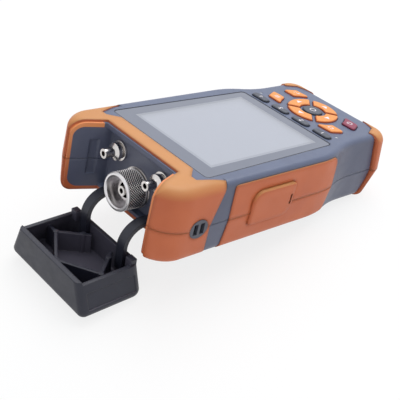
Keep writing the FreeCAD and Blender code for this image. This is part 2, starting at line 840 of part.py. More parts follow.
flange_face = port_wall - main_flange_reach
core_tip = port_wall - main_core_reach
sleeve_tip = port_wall - main_sleeve_reach
main_profile = [
    (0, shank_rear),
    (main_shank, shank_rear),
    (main_shank, port_wall),
    (main_flange, port_wall),
    (main_flange, flange_face),
    (main_core, flange_face),
    (main_core, core_tip),
    (main_core_bore, core_tip),
    (main_core_bore, core_tip + main_core_depth),
    (ferrule_sleeve, core_tip + main_core_depth),
    (ferrule_sleeve, sleeve_tip),
    (ferrule_bore, sleeve_tip),
    (ferrule_bore, sleeve_tip + sleeve_depth),
    (0, sleeve_tip + sleeve_depth),
]
parts["reflectometer_adapter"] = turned(main_profile, 0, main_port_z)
nut_rear = flange_face - gap
nut_front = port_wall - nut_reach
nut_profile = [
    (main_core + gap, nut_rear),
    (nut_radius - nut_chamfer, nut_rear),
    (nut_radius, nut_rear - nut_chamfer),
    (nut_radius, nut_front + nut_chamfer),
    (nut_radius - nut_chamfer, nut_front),
    (nut_bore + nut_chamfer, nut_front),
    (nut_bore, nut_front + nut_chamfer),
    (nut_bore, nut_rear - nut_web),
    (main_core + gap, nut_rear - nut_web),
]
parts["knurled_nut"] = turned(nut_profile, 0, main_port_z)

detector_place = (-side_port_x, shank_rear, side_port_z)
laser_place = (side_port_x, shank_rear, side_port_z)
parts["photodiode"] = cylinder(can_radius, detector_length, detector_place, (0, 1, 0))
parts["laser_can"] = cylinder(can_radius, laser_length, laser_place, (0, 1, 0))

# Heavy pieces in the lower shell
module_top = module_bottom + module_height
battery_top = floor + battery_height
parts["reflectometer_module"] = box(-module_half, module_half, module_front, module_rear,
                                    module_bottom, module_top)
parts["battery_pack"] = box(-battery_half, battery_half, battery_front, battery_rear, floor, battery_top)
heads = at_screws(screw_head, head_bottom, screw_sink)
shafts = at_screws(screw_radius, head_bottom, head_bottom + screw_length)
parts["case_screws"] = Part.makeCompound([head.fuse(shaft) for head, shaft in zip(heads, shafts)])

# Sockets
usb = usb_block(0, socket_inner, socket_outer)
usb = usb.cut(usb_block(-socket_wall, socket_inner + socket_wall, socket_outer))
tongue_half = usb_tongue_width / 2
tongue_rise = usb_tongue_height / 2
tongue = box(socket_inner, socket_outer - socket_wall, usb_y - tongue_half, usb_y + tongue_half,
             socket_z - tongue_rise, socket_z + tongue_rise)
parts["data_socket"] = usb.fuse(tongue)
jack_hole = cylinder(jack_bore, socket_depth, (socket_inner + socket_wall, jack_y, socket_z), (1, 0, 0))
jack_pin_rod = cylinder(jack_pin, socket_depth - gap, (socket_inner, jack_y, socket_z), (1, 0, 0))
parts["charging_socket"] = jack_block(0, socket_inner, socket_outer).cut(jack_hole).fuse(jack_pin_rod)
parts["socket_board"] = box(socket_inner - board_thickness, socket_inner, cover_front, cover_rear,
                            cover_low, cover_high)

# Socket cover
cover = cover_prism(0, cover_inner, cover_outer)
cover = cover.makeFillet(cover_edge_radius, edges_at(cover, 0, cover_outer))
finger_y = cover_rear - finger_inset
finger_slot = box(cover_outer - finger_depth, far, finger_y - finger_width / 2, finger_y + finger_width / 2,
                  socket_z - finger_height / 2, socket_z + finger_height / 2)
parts["socket_cover"] = cover.cut(finger_slot)

# Lanyard eye
slot_low = parting_height - eye_slot_height / 2
slot_high = parting_height + eye_slot_height / 2
tunnel_half = eye_bar / 2 + eye_slot_width
tunnel_x = eye_inner + eye_back
eye_room = box(tunnel_x, far, eye_y - tunnel_half, eye_y + tunnel_half, slot_low, slot_high)
bar = box(tunnel_x + eye_tunnel, far, eye_y - eye_bar / 2, eye_y + eye_bar / 2, slot_low, slot_high)
parts["lanyard_eye"] = eye_prism(0).cut(eye_room.cut(bar))


# Dust cap
def cap_at(y, inset):
    """Half width of the closed cap at one place along Y."""
    return notch_at(y) - cap_gap - inset


cap_rear = strip_front - cap_gap
cap_rim = cap_rear - cap_rim_step
cap_floor = cap_front + cap_wall
cap_plan = both_sides([(cap_at(cap_rear, 0), cap_rear), (cap_at(cap_front, 0), cap_front)])
cap_block = plan_prism(cap_plan, cap_bottom, case_height)


def corners_rounded(shape, z, radius):
    """Round the edges that run along the cap's depth at one height."""
    edges = [e for e in edges_at(shape, 2, z) if abs(e.Vertexes[0].Y - e.Vertexes[1].Y) > gap]
    return shape.makeFillet(radius, edges)


cap_block = corners_rounded(cap_block, case_height, cap_corner_radius)
cap_block = corners_rounded(cap_block, cap_bottom, cap_hinge_radius)
cap_block = cap_block.makeFillet(cap_edge_radius, edges_at(cap_block, 1, cap_front))
inside_plan = both_sides([
    (cap_at(strip_front, cap_wall), strip_front),
    (cap_at(cap_floor, cap_wall), cap_floor),
])
cap_inside = plan_prism(inside_plan, cap_bottom + cap_wall, case_height - cap_panel)
cap_inside = corners_rounded(cap_inside, cap_bottom + cap_wall, cap_hinge_radius - cap_wall)
cap = cap_block.cut(cap_inside)
cap = cap.cut(box(-far, far, cap_rim, far, -far, case_height - cap_panel))


def rib(start, end):
    """Upright web inside the cap between two points seen along Y."""
    run = V(end[0] - start[0], 0, end[1] - start[1])
    length = run.Length
    web = box(0, length, cap_floor, rib_top, -rib_thickness / 2, rib_thickness / 2)
    web.rotate(V(0, 0, 0), V(0, 1, 0), -math.degrees(math.atan2(run.z, run.x)))
    web.translate(V(start[0], 0, start[1]))
    return web


ribs = []
for side in (-1, 1):
    top_cross = (0, rib_top_z)
    side_cross = (side * rib_side_x, rib_side_z)
    low_cross = (side * rib_low_x, rib_low_z)
    share = 1 + rib_overrun / math.dist(side_cross, low_cross)
    low_end = [a + (b - a) * share for a, b in zip(side_cross, low_cross)]
    ribs.append(rib(top_cross, side_cross))
    ribs.append(rib(side_cross, low_end))
    ribs.append(rib(side_cross, (side * cap_at(rib_top, cap_wall / 2), rib_side_z)))
    for x, z in (side_cross, low_cross):
        ribs.append(cylinder(rib_boss, rib_top - cap_floor + gap, (x, cap_floor, z), (0, 1, 0)))
ribs.append(box(-rib_thickness, rib_thickness, cap_floor, rib_top,
                rib_top_z - rib_thickness, case_height - cap_panel))
cap = cap.fuse([web.common(cap_block) for web in ribs])
for side in (-1, 1):
    near = cap_rim - frame_margin
    deep = cap_front + frame_margin
    frame_plan = [
        (cap_at(near, frame_depth), near),
        (far, near),
        (far, deep),
        (cap_at(deep, frame_depth), deep),
    ]
    frame = plan_prism(frame_plan, cap_bottom + frame_margin, case_height - frame_margin)
    ear_x = cap_at(cap_rim + ear_reach, 0)
    ear_low = pocket_low + cap_gap
    ear_front = cap_rim - ear_reach
    ear_rear = cap_rim + ear_reach
    ear = box(ear_x - ear_width, ear_x, ear_front, ear_rear, ear_low, ear_low + ear_height)
    if side < 0:
        frame = mirrored(frame)
        ear = mirrored(ear)
    cap = cap.cut(frame).fuse(ear)
cap = cap.removeSplitter()
cap.rotate(V(0, cap_axis_y, cap_axis_z), V(1, 0, 0), cap_open_angle)
parts["dust_cap"] = cap

# Rubber straps: out of the port wall, over the lower strip and down into the cap
strap_z = pocket_low + gap + strap_thickness / 2
opening = math.radians(cap_open_angle)
lie = cap_bottom + cap_wall + gap + strap_thickness / 2 - cap_axis_z
bend_y = cap_axis_y - lie / math.sin(opening) + (strap_z - cap_axis_z) / math.tan(opening)
cut = strap_bend * math.tan(opening / 2)


def strap_face(x):
    """Side view of the strap as an arc between two straight runs."""
    start = V(x, port_wall, strap_z)
    corner = V(x, bend_y, strap_z)
    down = V(0, -math.cos(opening), -math.sin(opening))
    out = V(0, -1, 0)
    half = strap_thickness / 2
    bend_start = corner - out * cut
    bend_end = corner + down * cut
    tail = bend_end + down * strap_tail
    up = V(0, 0, 1)
    side_out = V(0, -math.sin(opening), math.cos(opening))
    centre = bend_start - up * strap_bend
    middle = up + side_out
    middle.normalize()
    edges = []
    for offset in (half, -half):
        edges.append(Part.LineSegment(start + up * offset, bend_start + up * offset).toShape())
        edges.append(Part.Arc(bend_start + up * offset, centre + middle * (strap_bend + offset),
                              bend_end + side_out * offset).toShape())
        edges.append(Part.LineSegment(bend_end + side_out * offset, tail + side_out * offset).toShape())
    edges.append(Part.LineSegment(start + up * half, start - up * half).toShape())
    edges.append(Part.LineSegment(tail + side_out * half, tail - side_out * half).toShape())
    return face_of(edges)


for side, name in ((-1, "cap_strap_left"), (1, "cap_strap_right")):
    strap = strap_face(side * strap_x - strap_width / 2)
    parts[name] = strap.extrude(V(strap_width, 0, 0))

os.makedirs("parts", exist_ok=True)
for name, shape in parts.items():
    shape.exportStep("parts/%s.step" % name)
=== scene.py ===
import math

import bpy
from mathutils import Matrix, Quaternion, Vector


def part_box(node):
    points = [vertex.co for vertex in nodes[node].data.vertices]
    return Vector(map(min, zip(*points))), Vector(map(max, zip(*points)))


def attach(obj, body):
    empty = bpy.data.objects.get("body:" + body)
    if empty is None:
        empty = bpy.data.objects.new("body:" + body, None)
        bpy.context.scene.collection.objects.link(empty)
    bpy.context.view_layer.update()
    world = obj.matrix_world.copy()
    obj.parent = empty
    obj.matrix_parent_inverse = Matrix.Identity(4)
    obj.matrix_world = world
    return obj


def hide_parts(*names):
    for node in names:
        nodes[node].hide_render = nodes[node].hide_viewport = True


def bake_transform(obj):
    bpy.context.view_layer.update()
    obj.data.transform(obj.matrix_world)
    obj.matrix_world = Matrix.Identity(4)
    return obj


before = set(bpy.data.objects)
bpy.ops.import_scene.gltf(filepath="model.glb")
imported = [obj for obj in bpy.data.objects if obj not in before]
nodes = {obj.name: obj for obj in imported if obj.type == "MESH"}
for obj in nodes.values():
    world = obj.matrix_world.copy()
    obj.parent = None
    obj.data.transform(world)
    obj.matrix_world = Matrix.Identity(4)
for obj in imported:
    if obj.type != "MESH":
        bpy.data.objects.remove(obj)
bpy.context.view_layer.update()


# Port plate: the wall between the horns that carries the three ports.
# Moulded in the housing's tough grey plastic with a fine, even grain, and let into the shells.
def linear(red, green, blue):
    """Linear colour from the 0 to 255 values that a colour picker shows."""
    def one(value):
        value = value / 255
        return value / 12.92 if value <= 0.04045 else ((value + 0.055) / 1.055) ** 2.4
    return (one(red), one(green), one(blue), 1.0)


def spread(tree, value, from_low, from_high, to_low, to_high):
    """Map a value from one range to another and stop at its ends."""
    ranged = tree.nodes.new("ShaderNodeMapRange")
    ends = {"From Min": from_low, "From Max": from_high, "To Min": to_low, "To Max": to_high}
    for name, amount in ends.items():
        ranged.inputs[name].default_value = amount
    tree.links.new(value, ranged.inputs["Value"])
    return ranged.outputs["Result"]


def noise(tree, size, detail=2.0):
    """Noise over the piece's own coordinates, with patches of about that size in metres."""
    place = tree.nodes.new("ShaderNodeTexCoord")
    texture = tree.nodes.new("ShaderNodeTexNoise")
    texture.inputs["Scale"].default_value = 1 / size
    texture.inputs["Detail"].default_value = detail
    tree.links.new(place.outputs["Object"], texture.inputs["Vector"])
    return texture.outputs["Fac"]


def patchy(tree, size, low, high, detail=2.0):
    """Patches of about that size, with values from low to high."""
    return spread(tree, noise(tree, size, detail), 0.3, 0.7, low, high)


def blended(tree, factor, first, second):
    """Mix two colours, each given as a colour or as a socket."""
    mix = tree.nodes.new("ShaderNodeMix")
    mix.data_type = "RGBA"
    tree.links.new(factor, mix.inputs["Factor"])
    for name, colour in (("A", first), ("B", second)):
        if isinstance(colour, tuple):
            mix.inputs[name].default_value = colour
        else:
            tree.links.new(colour, mix.inputs[name])
    return mix.outputs["Result"]


def moulded(name, colour, shade, roughness, grain, depth, edge=0.0003, patch=0.012,
            metallic=0.0, uneven=0.05):
    """Surface with two close shades in patches, an uneven gloss, a fine grain and soft edges."""
    material = bpy.data.materials.new(name)
    material.use_nodes = True
    tree = material.node_tree
    surface = tree.nodes["Principled BSDF"]
    surface.inputs["Metallic"].default_value = metallic
    shades = blended(tree, patchy(tree, patch, 0.0, 1.0), colour, shade)
    tree.links.new(shades, surface.inputs["Base Color"])
    gloss = patchy(tree, patch / 3, roughness - uneven, roughness + uneven, detail=4.0)
    tree.links.new(gloss, surface.inputs["Roughness"])
    bump = tree.nodes.new("ShaderNodeBump")
    bump.inputs["Strength"].default_value = 0.5
    bump.inputs["Distance"].default_value = depth
    tree.links.new(noise(tree, grain), bump.inputs["Height"])
    if edge:
        soft = tree.nodes.new("ShaderNodeBevel")
        soft.samples = 6
        soft.inputs["Radius"].default_value = edge
        tree.links.new(soft.outputs["Normal"], bump.inputs["Normal"])
    tree.links.new(bump.outputs["Normal"], surface.inputs["Normal"])
    return material


true_edge = math.radians(28)


def finish(material, *names):
    """Give CAD nodes one material, and smooth shading between their true edges."""
    for name in names:
        mesh = nodes[name].data
        mesh.materials.clear()
        mesh.materials.append(material)
        mesh.shade_smooth()
        mesh.set_sharp_from_angle(angle=true_edge)


grey = moulded("grey housing", linear(93, 97, 115), linear(88, 92, 110),
               roughness=0.38, grain=0.00035, depth=0.00003, edge=0.0005)
finish(grey, "port_plate")


# Shells: two halves moulded in the same grey plastic, which meet at the parting line and are
# held by six screws from the back. Painted light from above makes them paler on top, and the
# orange rubber's feather edge runs in over their lip round the notch, with a painted highlight
# that makes it paler towards its top.
rubber_shade = linear(188, 95, 54)
rim_painted_highlight = linear(236, 148, 90)
rim_low = 0.006
rim_high = 0.034
horn_front = -0.0810
horn_top = 0.0372
horn_root = -0.0645
nose_radius = 0.0080
edge_width = 0.0029
strip_lip = -0.0622
edge_blur = 0.0002


def coordinate(tree, kind, axis):
    """X, Y or Z of a point on the piece (Object), or of the way its face looks (Normal)."""
    place = tree.nodes.new("ShaderNodeTexCoord")
    parts = tree.nodes.new("ShaderNodeSeparateXYZ")
    tree.links.new(place.outputs[kind], parts.inputs["Vector"])
    return parts.outputs[axis]


def combined(tree, operation, first, second):
    """One value from two, such as their product or the larger one."""
    node = tree.nodes.new("ShaderNodeMath")
    node.operation = operation
    tree.links.new(first, node.inputs[0])
    tree.links.new(second, node.inputs[1])
    return node.outputs["Value"]


def painted(material, factor, colour):
    """Lay another colour over a material's own, where the factor is 1."""
    tree = material.node_tree
    base = tree.nodes["Principled BSDF"].inputs["Base Color"]
    own = base.links[0].from_socket
    tree.links.new(blended(tree, factor, own, colour), base)


def painted_top_light(material, pale, pale_shade):
    """Painted light from above: faces that look up turn to two paler shades in patches."""
    tree = material.node_tree
    up = spread(tree, coordinate(tree, "Normal", "Z"), 0.1, 0.9, 0, 1)
    painted(material, up, blended(tree, patchy(tree, 0.015, 0, 1), pale, pale_shade))


def shell_plastic():
    """Housing plastic with painted top light; on the lip, the rubber's edge along noses, tops and
    backs of the horns, with a painted highlight towards its top.
    """
    material = moulded("grey shells", linear(85, 90, 111), linear(80, 85, 105),
                       roughness=0.38, grain=0.00035, depth=0.00003, edge=0.0014)
    painted_top_light(material, linear(92, 102, 128), linear(88, 97, 122))
    tree = material.node_tree
    y = coordinate(tree, "Object", "Y")
    z = coordinate(tree, "Object", "Z")
    past_nose = spread(tree, y, horn_front, horn_front + nose_radius, nose_radius, 0)
    past_top = spread(tree, z, horn_top - nose_radius, horn_top, 0, nose_radius)
    past_back = spread(tree, z, 0, nose_radius, nose_radius, 0)
    on_horn = spread(tree, y, horn_root - edge_blur, horn_root, 1, 0)
    past_horn_top = combined(tree, "MULTIPLY", past_top, on_horn)
    reach = tree.nodes.new("ShaderNodeCombineXYZ")
    for name, amount in (("X", past_nose), ("Y", past_horn_top), ("Z", past_back)):
        tree.links.new(amount, reach.inputs[name])
    length = tree.nodes.new("ShaderNodeVectorMath")
    length.operation = "LENGTH"
    tree.links.new(reach.outputs["Vector"], length.inputs[0])
    band = nose_radius - edge_width
    at_edge = spread(tree, length.outputs["Value"], band, band + edge_blur, 0, 1)
    ahead = spread(tree, y, strip_lip, strip_lip + edge_blur, 1, 0)
    # Painted highlight: the rubber edge runs from its own shade low down to a pale top.
    rim = blended(tree, spread(tree, z, rim_low, rim_high, 0, 1), rubber_shade, rim_painted_highlight)
    painted(material, combined(tree, "MULTIPLY", at_edge, ahead), rim)
    return material


finish(shell_plastic(), "upper_shell", "lower_shell")


# Orange rubber: bumpers and grips of soft rubber, moulded over each shell by itself.
# A matt skin with well rounded edges; painted light from above makes the faces that look up paler.
orange = moulded("orange rubber", linear(198, 104, 60), rubber_shade,
                 roughness=0.48, grain=0.0005, depth=0.00003, edge=0.0035, patch=0.02)
painted_top_light(orange, linear(199, 137, 79), linear(193, 131, 75))
finish(orange, *[name for name in nodes if "bumper" in name or "grip" in name])


# Strip over the ports: the middle of the front bumper's upper half, of the same rubber.
# It laps back over the shell and closes just in front of the window.
strip_rear = -0.0565
strip_half = 0.0260
strip_lap = 0.0022
near = 0.0003


def stand_in(name, ending):
    """Copy of a CAD node in the same place, to be shaped in its stead."""
    node = nodes[name]
    copy = node.copy()
    copy.data = node.data.copy()
    copy.name = name + ending
    bpy.context.scene.collection.objects.link(copy)
    bpy.context.view_layer.update()
    copy.parent = None
    copy.matrix_world = node.matrix_world.copy()
    return copy


strip = stand_in("front_bumper_upper", "_drawn")
for vertex in strip.data.vertices:
    if abs(vertex.co.x) < strip_half + near and abs(vertex.co.y - strip_rear) < near:
        vertex.co.y += strip_lap
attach(strip, "main")
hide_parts("front_bumper_upper")


# Lanyard eye: an oval insert of grey plastic with two slots, pressed into the front bumper.
# A wrist cord goes in at one slot, behind the bar and out at the other.
eye_grey = moulded("lanyard eye", linear(84, 86, 96), linear(76, 78, 88),
                   roughness=0.5, grain=0.0004, depth=0.00003)
finish(eye_grey, "lanyard_eye")


# Display: a liquid crystal module, switched off, with a thin foam frame round its glass.
# It lies on the main board and shows through the clear part of the window.
panel = moulded("display glass", linear(197, 201, 212), linear(193, 197, 208),
                roughness=0.25, grain=0.0006, depth=0.000004, edge=0, patch=0.03)
finish(panel, "display_module")
foam = moulded("black foam", linear(40, 40, 44), linear(34, 34, 38),
               roughness=0.8, grain=0.0004, depth=0.00005)
finish(foam, "display_gasket")


# Window: hard-coated acrylic, glued in a recess of the upper shell over the display.
# Its underside is printed grey round a clear view, so only the middle is see-through, and
# a thin dark strip laid over the gap round it is painted shade.
view_half = 0.0276
view_front = -0.0446
view_rear = 0.0286
print_blur = 0.0003
rim_shade_width = 0.0016
clear_cover = 0.7
window_low, window_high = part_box("screen_window")
window_taper = 0.0018
window_corner = 0.0021
corner_steps = 6
gap_shade_width = 0.00034
gap_shade_rise = 0.00011


def window_acrylic():
    """Grey print outside the view; inside it a pale pane of painted light, partly see-through, that
    covers the shade at the display's edges, and a slightly darker painted shade round its rim.
    """
    material = moulded("window acrylic", linear(118, 123, 137), linear(115, 120, 134),
                       roughness=0.16, grain=0.0006, depth=0.000002, uneven=0.015)
    tree = material.node_tree
    surface = tree.nodes["Principled BSDF"]
    y = coordinate(tree, "Object", "Y")
    across = tree.nodes.new("ShaderNodeMath")
    across.operation = "ABSOLUTE"
    tree.links.new(coordinate(tree, "Object", "X"), across.inputs[0])

    def outside(inset):
        """1 outside the view less an inset, 0 inside it."""
        half = view_half - inset
        front = view_front + inset
        rear = view_rear - inset
        past_side = spread(tree, across.outputs["Value"], half - print_blur, half, 0, 1)
        past_front = spread(tree, y, front, front + print_blur, 1, 0)
        past_rear = spread(tree, y, rear - print_blur, rear, 0, 1)
        past_end = combined(tree, "MAXIMUM", past_front, past_rear)
        return combined(tree, "MAXIMUM", past_side, past_end)

    printed = outside(0)
    print_grey = surface.inputs["Base Color"].links[0].from_socket
    # Painted light and painted shade: a pale, partly opaque pane over the view, darker round its rim.
    pane_painted_light = blended(tree, outside(rim_shade_width), linear(193, 197, 208), linear(180, 184, 195))
    tree.links.new(blended(tree, printed, pane_painted_light, print_grey), surface.inputs["Base Color"])
    tree.links.new(spread(tree, printed, 0, 1, clear_cover, 1), surface.inputs["Alpha"])
    return material


def piece(name, points, faces, material):
    """New mesh piece from its points and faces."""
    mesh = bpy.data.meshes.new(name)
    mesh.from_pydata(points, [], faces)
    mesh.materials.append(material)
    obj = bpy.data.objects.new(name, mesh)
    bpy.context.scene.collection.objects.link(obj)
    return obj


def window_edge(grow):
    """Points round the window's outline, a little narrower at the rear, with rounded corners."""
    radius = window_corner + grow
    spots = []
    for side_x, side_y, start in ((1, 1, 0), (-1, 1, 90), (-1, -1, 180), (1, -1, 270)):
        half = window_high.x - window_taper if side_y > 0 else window_high.x
        end = window_high.y if side_y > 0 else window_low.y
        x = side_x * (half - window_corner)
        y = end - side_y * window_corner
        for i in range(corner_steps + 1):
            angle = math.radians(start + 90 * i / corner_steps)
            spots.append((x + radius * math.cos(angle), y + radius * math.sin(angle)))
    return spots


finish(window_acrylic(), "screen_window")
# Painted shade: a thin dark strip just above the gap round the window.
gap_shade_line = window_edge(0) + window_edge(gap_shade_width)
gap_shade_points = [(x, y, window_high.z + gap_shade_rise) for x, y in gap_shade_line]
count = len(gap_shade_line) // 2
gap_shade_faces = [(i, (i + 1) % count, count + (i + 1) % count, count + i) for i in range(count)]
gap_shade = piece("window_gap_shade", gap_shade_points, gap_shade_faces, foam)
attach(gap_shade, "main")


# Keypad: one silicone mat under the shell, with caps that stand a millimetre out of it.
# Orange arrow and corner keys, dark soft keys and centre key, a red power key.
def keycap(name, top, side):
    """Dyed silicone: worn patches darken the top a little, and painted light from above keeps the top
    paler than the darker flanks.
    """
    material = moulded(name, top, side, roughness=0.45, grain=0.0004, depth=0.00002)
    tree = material.node_tree
    flank = spread(tree, coordinate(tree, "Normal", "Z"), 0.4, 0.9, 1, 0)
    wear = patchy(tree, 0.003, 0, 0.12)
    colour = blended(tree, combined(tree, "MAXIMUM", flank, wear), top, side)
    tree.links.new(colour, tree.nodes["Principled BSDF"].inputs["Base Color"])
    return material


arrow_keys = ("right_key", "rear_key", "left_key", "front_key")
corner_keys = ("function_key", "back_key", "menu_key")
soft_keys = ("soft_key_1", "soft_key_2", "soft_key_3", "soft_key_4")
# Each key's second colour is the painted shade of its flanks.
finish(keycap("orange keys", linear(232, 150, 72), linear(206, 96, 52)), *arrow_keys, *corner_keys)
finish(keycap("dark keys", linear(76, 80, 92), linear(50, 53, 62)), *soft_keys, "centre_key")
finish(keycap("red key", linear(136, 46, 76), linear(112, 34, 58)), "power_key")
finish(foam, "keypad_mat")


# Signs on the keys: white ink, screen printed on the caps and cured.
# Solid arrow heads on the ring, plain numerals on the soft keys and simple line signs on the
# others; each lies a hair above its key and moves with it.
ink = moulded("white ink", linear(232, 228, 234), linear(222, 218, 226),
              roughness=0.6, grain=0.0003, depth=0.00001)
ink_height = 0.00003
numeral_stroke = 0.6
sign_stroke = 0.45
ring_stroke = 0.5
arrow_tip = 0.0122
arrow_length = 0.0026
arrow_half = 0.0019


def arc(radius, start, end, steps=20):
    """Points round an arc, angles in degrees."""
    angles = [math.radians(start + (end - start) * i / steps) for i in range(steps + 1)]
    return [(radius * math.cos(a), radius * math.sin(a)) for a in angles]


def sign(key, strokes, width):
    """Lines of ink on top of a key; points in millimetres as its user reads them."""
    low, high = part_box(key)
    centre = (low + high) / 2
    points = []
    faces = []
    for stroke in strokes:
        line = [Vector(point) for point in stroke]
        first = len(points)
        for i, here in enumerate(line):
            ahead = (line[min(i + 1, len(line) - 1)] - here).normalized()
            behind = (here - line[max(i - 1, 0)]).normalized()
            across = (ahead + behind).normalized().orthogonal() * width / 2
            for side in (across, -across):
                spot = (here + side) * 0.001
                points.append((centre.x - spot.x, centre.y - spot.y, high.z + ink_height))
        for i in range(len(line) - 1):
            a = first + 2 * i
            faces.append((a, a + 1, a + 3, a + 2))
    obj = piece(key + "_sign", points, faces, ink)
    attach(obj, key + "_press")


def arrow(key, turn):
    """Solid arrow head on a ring key, pointing outwards."""
    low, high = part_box(key)
    ring_low, ring_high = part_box("centre_key")
    ring = (ring_low + ring_high) / 2
    aim = Vector((math.cos(turn), math.sin(turn), 0))
    across = Vector((-aim.y, aim.x, 0))
    tip = Vector((ring.x, ring.y, high.z + ink_height)) + aim * arrow_tip
    base = tip - aim * arrow_length
    points = [tip, base + across * arrow_half, base - across * arrow_half]
    obj = piece(key + "_sign", points, [(0, 1, 2)], ink)
    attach(obj, key + "_press")


for quarter, name in enumerate(arrow_keys):
    arrow(name, math.radians(90 * quarter))
one = [(-0.5, 0.7), (0, 1.1), (0, -1.1)]
two = [(-0.7, 0.7), (-0.3, 1.1), (0.4, 1.1), (0.7, 0.6), (-0.7, -1.1), (0.8, -1.1)]
three = [(-0.7, 1.1), (0.7, 1.1), (0, 0.2), (0.7, -0.4), (0.4, -1.1), (-0.3, -1.1), (-0.7, -0.8)]
four = [(0.4, -1.1), (0.4, 1.1), (-0.8, -0.4), (0.9, -0.4)]
for name, numeral in zip(reversed(soft_keys), (one, two, three, four)):
    sign(name, [numeral], numeral_stroke)
list_lines = [[(-1.6, y), (1.6, y)] for y in (-1.0, 0.0, 1.0)]
back_hook = [[(1.4, 0.9), (1.4, -0.6), (-1.5, -0.6)], [(-0.6, 0.4), (-1.6, -0.6), (-0.6, -1.6)]]
page = [(-1.3, -1.0), (1.3, -1.0), (1.3, 1.0), (-1.3, 1.0), (-1.3, -1.0)]
sign("function_key", list_lines, sign_stroke)
sign("back_key", back_hook, sign_stroke)
sign("menu_key", [page], sign_stroke)
sign("power_key", [arc(1.4, 130, 410), [(0, 0.5), (0, 2.0)]], sign_stroke)
sign("centre_key", [arc(1.6, 0, 360)], ring_stroke)


# Status lights: two short rods of clear plastic, pressed into the upper shell.
# They bring light from the board up to the face, where their polished ends show.
clear = moulded("light pipe", linear(206, 212, 218), linear(196, 202, 210),
                roughness=0.2, grain=0.0004, depth=0.00001, edge=0)
finish(clear, "status_lights")


# Ports: turned brass adapters plated with bright nickel, screwed through the port plate.
# Each carries a fine sleeve for a ferrule; the middle one has painted shade in the recess
# between its core and its sleeve.
port_low, port_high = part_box("reflectometer_adapter")
port_axis = (port_low.z + port_high.z) / 2
shade_inner = 0.00242
shade_outer = 0.00368
shade_blur = 0.0001


def plated(name, colour, shade, roughness, edge):
    """Bright nickel on turned brass, with fine tool marks that run round the axis."""
    material = moulded(name, colour, shade, roughness, grain=0.0008, depth=0.000005, edge=edge,
                       patch=0.004, metallic=1.0, uneven=0.03)
    tree = material.node_tree
    surface = tree.nodes["Principled BSDF"]
    marks = tree.nodes.new("ShaderNodeTangent")
    marks.direction_type = "RADIAL"
    marks.axis = "Y"
    surface.inputs["Anisotropic"].default_value = 0.75
    tree.links.new(marks.outputs["Tangent"], surface.inputs["Tangent"])
    return material


def bright_nickel(name):
    """Plating of the three adapters."""
    return plated(name, linear(222, 218, 216), linear(208, 204, 200), roughness=0.2, edge=0.00015)


def recess_shaded_nickel():
    """Plating with a ring of painted shade round the axis of the middle port, where its recess lies.
    """
    material = bright_nickel("recess shaded nickel")
    tree = material.node_tree
    place = tree.nodes.new("ShaderNodeTexCoord")
    from_axis = tree.nodes.new("ShaderNodeVectorMath")
    from_axis.operation = "SUBTRACT"
    from_axis.inputs[1].default_value = (0, 0, port_axis)
    tree.links.new(place.outputs["Object"], from_axis.inputs[0])
    flat = tree.nodes.new("ShaderNodeVectorMath")
    flat.operation = "MULTIPLY"
    flat.inputs[1].default_value = (1, 0, 1)
    tree.links.new(from_axis.outputs["Vector"], flat.inputs[0])
    radius = tree.nodes.new("ShaderNodeVectorMath")
    radius.operation = "LENGTH"
    tree.links.new(flat.outputs["Vector"], radius.inputs[0])
    past = spread(tree, radius.outputs["Value"], shade_inner, shade_inner + shade_blur, 0, 1)
    within = spread(tree, radius.outputs["Value"], shade_outer, shade_outer + shade_blur, 1, 0)
    painted(material, combined(tree, "MULTIPLY", past, within), linear(34, 32, 32))
    return material


finish(bright_nickel("nickel plate"), "power_meter_adapter", "fault_locator_adapter")
finish(recess_shaded_nickel(), "reflectometer_adapter")


# Knurled nut: turned from the same brass, with a diamond knurl between two plain edges.
# It turns freely on the middle adapter; its bore and its front edge are left bright.
knurl_count = 46
knurl_depth = 0.00042
knurl_steps = 4
nut_edge = 0.0009
nut_wall = 0.0019
nut_web = 0.0018
nut_hole = 0.0052
nut_chamfer = 0.0005
nut_low, nut_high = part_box("knurled_nut")
nut_centre = (nut_low + nut_high) / 2
nut_radius = (nut_high.x - nut_low.x) / 2
nut_length = nut_high.y - nut_low.y
nut_bore = nut_radius - nut_wall
around = knurl_count * knurl_steps


def saw(value):
    """Up and down between 0 and 1 once per unit."""
    return 1 - abs(2 * (value % 1) - 1)


def nut_rows():
    """Each turned row of the nut as (radius, distance from its front face, knurl row or 0)."""
    web_front = nut_length - nut_web
    rows = [(nut_bore, web_front, 0), (nut_bore, nut_chamfer, 0)]
    rows += [(nut_bore + nut_chamfer, 0, 0), (nut_radius - nut_chamfer, 0, 0)]
    rows += [(nut_radius, nut_chamfer, 0), (nut_radius, nut_edge, 0)]
    knurled = nut_length - 2 * nut_edge
    steps = int(knurled / (2 * math.pi * nut_radius / around))
    for i in range(steps + 1):
        rows.append((nut_radius, nut_edge + i * knurled / steps, i + 1))
    rows += [(nut_radius, nut_length - nut_edge, 0), (nut_radius, nut_length - nut_chamfer, 0)]
    rows += [(nut_radius - nut_chamfer, nut_length, 0), (nut_hole, nut_length, 0)]
    rows.append((nut_hole, web_front, 0))
    return rows


def knurled_nickel():
    """The same plating, darker in the grooves of the knurl: partly grime, partly painted shade."""
    material = plated("knurled nickel", linear(216, 213, 214), linear(202, 198, 198),
                      roughness=0.24, edge=0)
    tree = material.node_tree
    groove = tree.nodes.new("ShaderNodeAttribute")
    groove.attribute_name = "groove"
    painted(material, spread(tree, groove.outputs["Fac"], 0.3, 0.8, 0, 1), linear(58, 55, 53))
    return material


